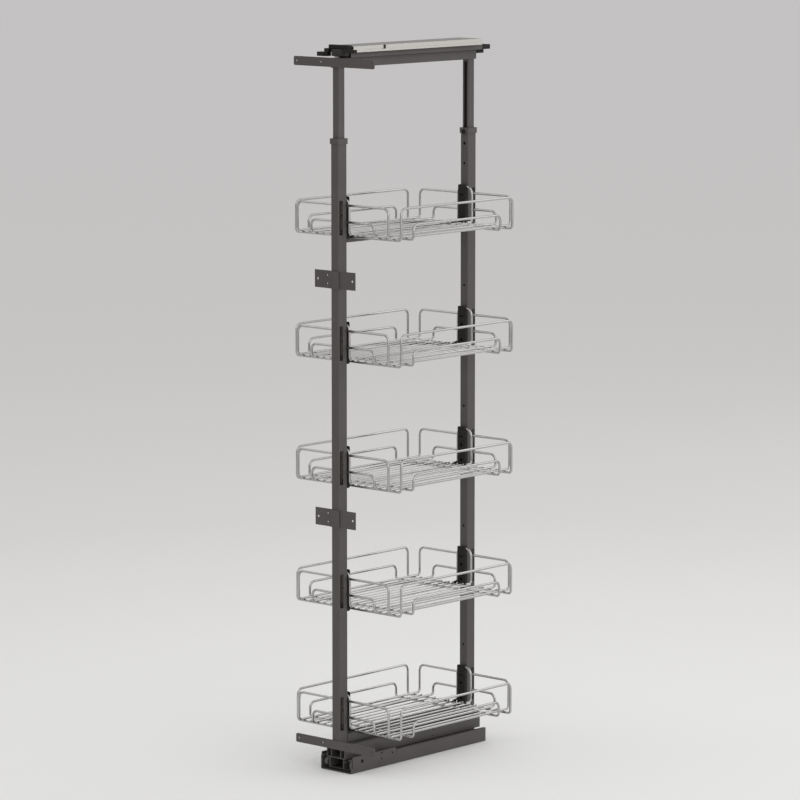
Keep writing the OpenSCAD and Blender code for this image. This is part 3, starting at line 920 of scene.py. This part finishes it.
@dataclass
class Studio:
    """Pale floor, even sky, four soft lamps and the photograph's camera."""

    # The floor's colour at distances from the unit in metres: pale paper, painted darker further out as
    # painted shade for the light's falloff
    paper_and_painted_falloff: tuple[tuple[float, str], ...] = (
        (0.0, "f1f1f0"), (1.0, "f0f0ef"), (3.5, "e2e1e0"), (7.0, "dedddc"), (12.0, "e0dede"), (24.0, "dfddde")
    )  # fmt: skip
    floor_reach: float = 150.0  # half the floor's side, in metres
    # Name, place and side in metres, and power in watts
    lamps: tuple[tuple[str, Point, float, float], ...] = (
        ("key_softbox", (7.2, 0.6, 3.2), 6.2, 112.0),
        ("wire_softbox", (5.2, 5.5, 3.3), 4.6, 60.0),
        ("fill_softbox", (-3.6, -3.4, 4.0), 3.0, 22.0),
        ("rim_softbox", (1.2, 5.4, 4.0), 3.5, 32.0),
    )
    aim: Point = (0.0, 0.0, 0.9)  # what the lamps point at, in metres
    camera_mm: Point = (6797.9, -7553.4, 2334.9)
    turn: float = 0.735036  # to the left of straight ahead, in radians
    pitch: float = 0.141161  # down from level, in radians
    focal_px: float = 4162.0
    photo_px: int = 800
    sensor_mm: float = 36.0

    def floor(self) -> None:
        """Lays a wide floor. The eye sees dull pale paper, painted slowly darker away from the unit: painted
        shade for the light's falloff.
        """
        size = self.floor_reach
        mesh = bpy.data.meshes.new("studio_floor")
        corners = [(-size, -size, 0.0), (size, -size, 0.0), (size, size, 0.0), (-size, size, 0.0)]
        mesh.from_pydata(corners, [], [(0, 1, 2, 3)])
        floor = bpy.data.objects.new("studio_floor", mesh)
        bpy.context.scene.collection.objects.link(floor)
        material = bpy.data.materials.new("studio_paper_pale")
        material.use_nodes = True
        tree = material.node_tree
        tree.nodes.clear()
        place = add_node(tree, "ShaderNodeTexCoord").outputs["Object"]
        away = add_node(tree, "ShaderNodeVectorMath", {"operation": "LENGTH"}, {0: place})
        reach = self.paper_and_painted_falloff[-1][0]
        span = {"Value": away.outputs["Value"], "From Max": reach}
        ramp = add_node(tree, "ShaderNodeMapRange", inputs=span)
        tone = add_node(tree, "ShaderNodeValToRGB", inputs={"Fac": ramp.outputs["Result"]})
        set_ramp(tone, [(metres / reach, linear(colour)) for metres, colour in self.paper_and_painted_falloff])
        dull = {"Base Color": tone.outputs["Color"], "Roughness": 0.75}
        paper = add_node(tree, "ShaderNodeBsdfPrincipled", inputs=dull)
        paper.inputs["Specular IOR Level"].default_value = 0.2
        add_node(tree, "ShaderNodeOutputMaterial", inputs={"Surface": paper.outputs["BSDF"]})
        mesh.materials.append(material)

    def sky(self) -> None:
        """Lights the scene evenly: a bright top, and a horizon that is brighter behind the camera.

        The chrome shows the dark sides of the room as thin lines along its wires.
        """
        world = bpy.data.worlds.new("studio_sky")
        bpy.context.scene.world = world
        world.use_nodes = True
        tree = world.node_tree
        tree.nodes.clear()
        aim = add_node(tree, "ShaderNodeTexCoord").outputs["Generated"]
        split = add_node(tree, "ShaderNodeSeparateXYZ", inputs={"Vector": aim})
        behind = (math.sin(self.turn), -math.cos(self.turn), 0.0)
        facing = add_node(tree, "ShaderNodeVectorMath", {"operation": "DOT_PRODUCT"}, {0: aim, 1: behind})
        horizon = add_node(tree, "ShaderNodeValToRGB", inputs={"Fac": facing.outputs["Value"]})
        side, bright, top = (0.16, 0.16, 0.16, 1), (0.95, 0.94, 0.93, 1), (0.86, 0.855, 0.85, 1)
        set_ramp(horizon, [(0.0, side), (0.35, (0.22, 0.215, 0.21, 1)), (0.8, bright)])
        climb = {"Value": split.outputs["Z"], "From Min": 0.15, "From Max": 0.75}
        rise = add_node(tree, "ShaderNodeMapRange", {"interpolation_type": "SMOOTHSTEP"}, climb)
        blend = {"Factor": rise.outputs["Result"], "A": horizon.outputs["Color"], "B": top}
        tone = add_node(tree, "ShaderNodeMix", {"data_type": "RGBA"}, blend)
        glow = {"Color": tone.outputs["Result"], "Strength": 1.0}
        sky = add_node(tree, "ShaderNodeBackground", inputs=glow)
        add_node(tree, "ShaderNodeOutputWorld", inputs={"Surface": sky.outputs["Background"]})

    @staticmethod
    def lamp(name: str, place: Point, aim: Point, size: float, watts: float) -> None:
        """Hangs a square soft lamp that points at a place.

        Args:
            name: the lamp's name.
            place: where it hangs, in metres.
            aim: the point it looks at.
            size: its side, in metres.
            watts: its power.
        """
        light = bpy.data.lights.new(name, "AREA")
        light.shape, light.size, light.energy = "SQUARE", size, watts
        lamp = bpy.data.objects.new(name, light)
        lamp.location = place
        lamp.rotation_euler = (Vector(aim) - Vector(place)).to_track_quat("-Z", "Y").to_euler()
        bpy.context.scene.collection.objects.link(lamp)

    def camera(self) -> None:
        """Puts the camera where the photograph was taken from."""
        data = bpy.data.cameras.new("photo_camera")
        data.sensor_fit, data.sensor_width = "HORIZONTAL", self.sensor_mm
        data.lens = self.focal_px / self.photo_px * self.sensor_mm
        data.clip_end = 400.0
        camera = bpy.data.objects.new("photo_camera", data)
        camera.location = Vector(self.camera_mm) * MM
        camera.rotation_euler = (math.pi / 2 - self.pitch, 0.0, self.turn)
        bpy.context.scene.collection.objects.link(camera)
        bpy.context.scene.camera = camera

    def build(self) -> None:
        """Sets up the whole studio."""
        self.camera()
        self.floor()
        self.sky()
        for name, place, size, watts in self.lamps:
            self.lamp(name, place, self.aim, size, watts)
        view = bpy.context.scene.view_settings
        view.view_transform = "Standard"
        LOG.info("studio ready")


# ------------------------------------------------------------------ the whole unit


def frame_pieces() -> dict[str, dict[str, tuple[Slot, float]]]:
    """Lists, for each body, the nodes that keep their shape, with their finish and edge rounding in mm."""
    steel, black, pin = Slot.STEEL, Slot.BLACK, Slot.PIN
    return {
        "runner": {
            "runner_channel": (steel, 0.35),
            "runner_side_plates": (steel, 0.35),
            "front_roller_axles": (pin, 0.25),
            "runner_rear_buffer": (black, 1.2),
        },
        "middle": {"middle_member": (steel, 0.35), "middle_axles": (pin, 0.25)},
        "frame": {
            "carriage": (steel, 0.35),
            "carriage_axles": (pin, 0.25),
            "carriage_end_plug": (black, 0.5),
            "bottom_tube": (steel, 0.35),
            "front_post": (steel, 0.3),
            "back_post": (steel, 0.3),
            "cross_brace": (steel, 0.8),
            "bottom_door_bar": (steel, 0.35),
            "upper_door_plate": (steel, 0.35),
            "lower_door_plate": (steel, 0.35),
            "front_collar": (steel, 0.5),
            "back_collar": (steel, 0.5),
            "front_holders": (black, 0.5),
            "back_holders": (black, 0.5),
        },
        "upper_frame": {
            "front_tube": (steel, 0.3),
            "back_tube": (steel, 0.3),
            "top_beam": (steel, 0.3),
            "guide_profile": (steel, 0.3),
            "top_door_bar": (steel, 0.35),
            "guide_tail_plug": (black, 0.8),
            "rear_buffer": (black, 0.8),
        },
        "cabinet_rail": {
            "top_rail": (Slot.RAIL, 0.3),
            "rail_front_cap": (black, 0.8),
            "rail_side_stop": (black, 0.5),
            "guide_roller_pin": (pin, 0.3),
        },
    }


def screw_sets(paint: Paint) -> list[PanScrews]:
    """Gives the holders' screws and the collars' clamp screws, which all ride on the frame."""
    holder_face, holder_rows = 216.6, (14.0, 52.0)
    clamp_face, clamp_height = 218.5, 1542.0
    holders = [
        ((0.0, sign * holder_face + MID_Y, BASKET_LOW + k * BASKET_PITCH + row), (0.0, -float(sign), 0.0))
        for sign in (-1, 1)
        for k in range(BASKET_COUNT)
        for row in holder_rows
    ]
    collars = [
        ((0.0, sign * clamp_face + MID_Y, clamp_height), (0.0, -float(sign), 0.0)) for sign in (-1, 1)
    ]
    return [
        PanScrews(paint, "holder_screws", Slot.PIN, holders, head=7.5, tall=2.0, shank=4.0, length=8.9),
        PanScrews(
            paint, "collar_clamp_screws", Slot.BLACK, collars, head=12.0, tall=3.0, shank=4.0, length=9.0
        ),
    ]


def roller_pairs(paint: Paint) -> list[RollerPair]:
    """Gives the four pairs of rollers in the runner."""
    return [
        RollerPair(
            paint, "front_rollers", "front_roller_pair",
            radius=10.0, height=18.6, y=-232.0, inner=37.5, outer=46.5,
        ),
        RollerPair(
            paint, "middle_rear_rollers", "middle_rear_roller_pair",
            radius=12.9, height=15.3, y=222.0, inner=36.3, outer=45.0,
        ),
        RollerPair(
            paint, "middle_front_rollers", "middle_front_roller_pair",
            radius=9.0, height=16.8, y=-222.0, inner=25.5, outer=32.2,
        ),
        RollerPair(
            paint, "carriage_rollers", "carriage_roller_pair",
            radius=9.2, height=16.6, y=223.0, inner=24.2, outer=31.2,
        ),
    ]  # fmt: skip


def main() -> None:
    """Sets up the studio, then builds and dresses every piece."""
    logging.basicConfig(level=logging.INFO, format="%(name)s %(message)s")
    Studio().build()
    paint = Paint()
    for number in range(1, BASKET_COUNT + 1):
        WireBasket(number, paint).build()
    for body, nodes in frame_pieces().items():
        SheetAndTube(paint, body, nodes).build()
    for pair in roller_pairs(paint):
        pair.build()
    GuideRoller(paint).build()
    for screws in screw_sets(paint):
        screws.build("frame")


if __name__ == "__main__":
    main()
